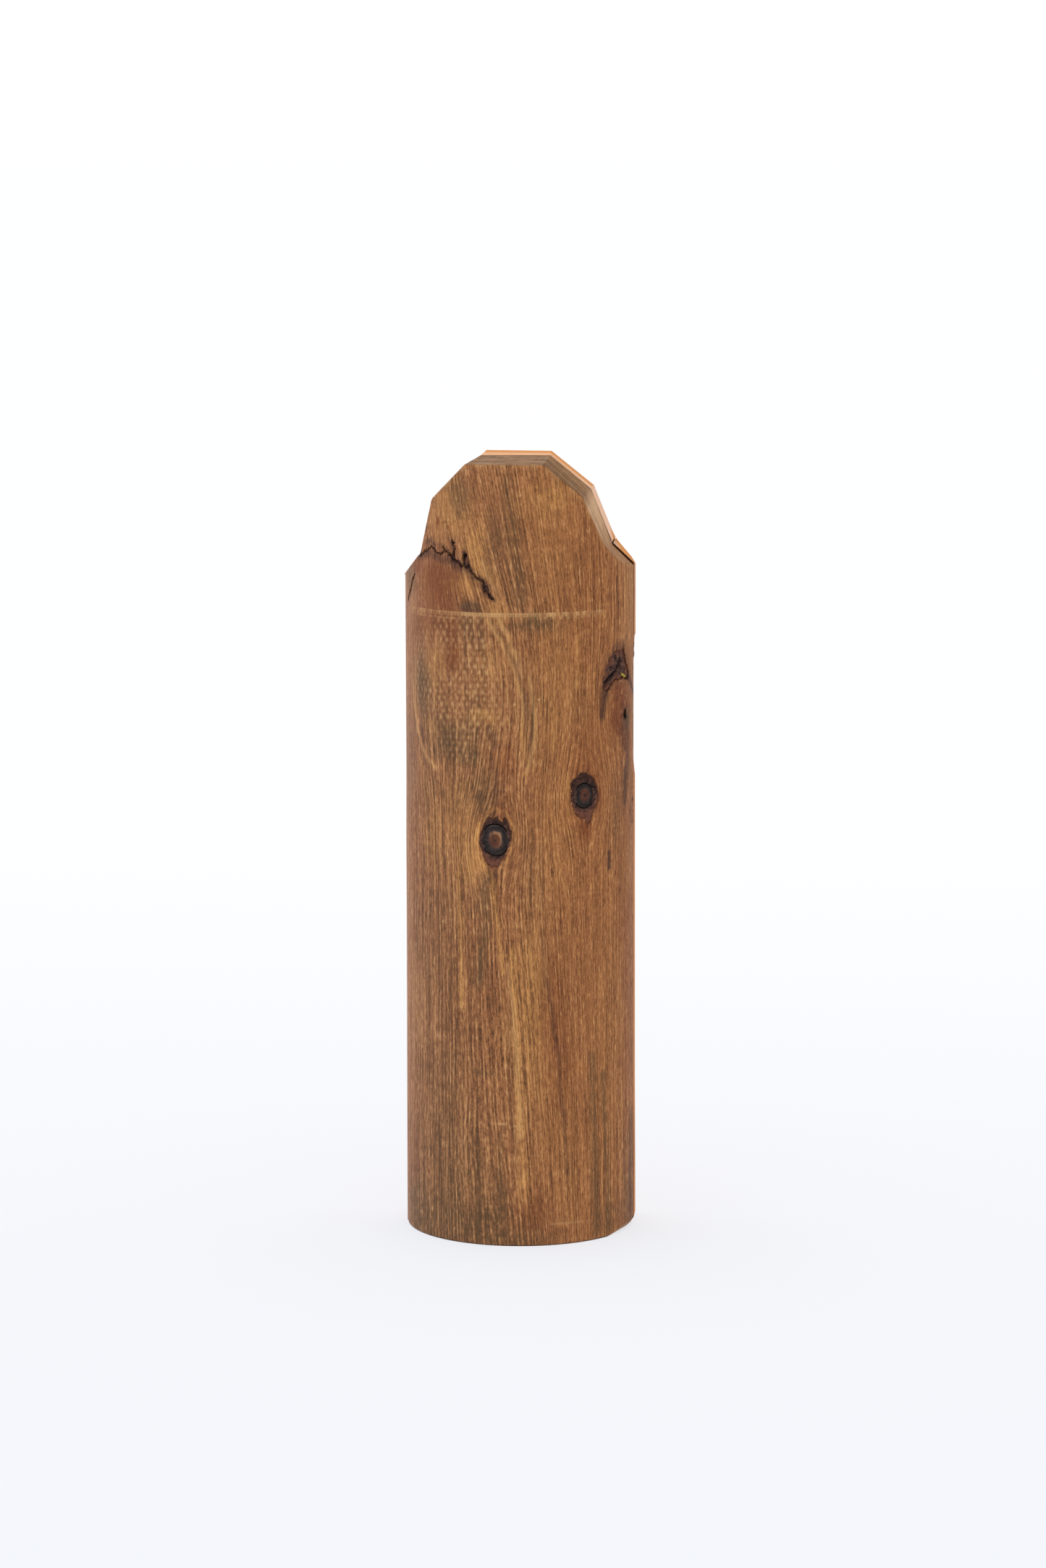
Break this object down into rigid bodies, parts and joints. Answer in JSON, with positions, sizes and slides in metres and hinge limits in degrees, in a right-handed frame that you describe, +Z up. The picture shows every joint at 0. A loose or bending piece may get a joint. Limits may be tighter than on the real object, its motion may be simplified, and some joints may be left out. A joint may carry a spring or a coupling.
{
  "type": "kokeshi doll",
  "caption": "Plain standing wooden figure with a half-round front, an angular head and shoulders outline and a flat back, glued up from a stained front and a paler back layer.",
  "frame": {"origin": "centre of the round front, in the plane of the base", "axes": "+Z up from the base to the crown, -Y out of the curved front, +Y out of the flat back, +X to the viewer's right"},
  "size_m": [0.071, 0.048, 0.2407],
  "materials": {
    "stained_wood": "brown oil stain, low sheen, vertical grain with knots",
    "pale_wood": "orange-pink bare wood with a thin clear finish",
    "glue": "dark dried glue line",
    "knot_wood": "dark dead knot wood with rings and radial checks",
    "bark": "near-black crumbly ingrown bark"
  },
  "bodies": {
    "root": {"front_half": "stained_wood", "back_half": "pale_wood", "glue_film": "glue", "knot_lower_core": "knot_wood", "knot_upper_core": "knot_wood", "knot_lower_bark": "bark", "knot_upper_bark": "bark", "bark_pocket": "bark", "bark_seam": "bark", "edge_bark": "bark"}
  },
  "joints": []
}
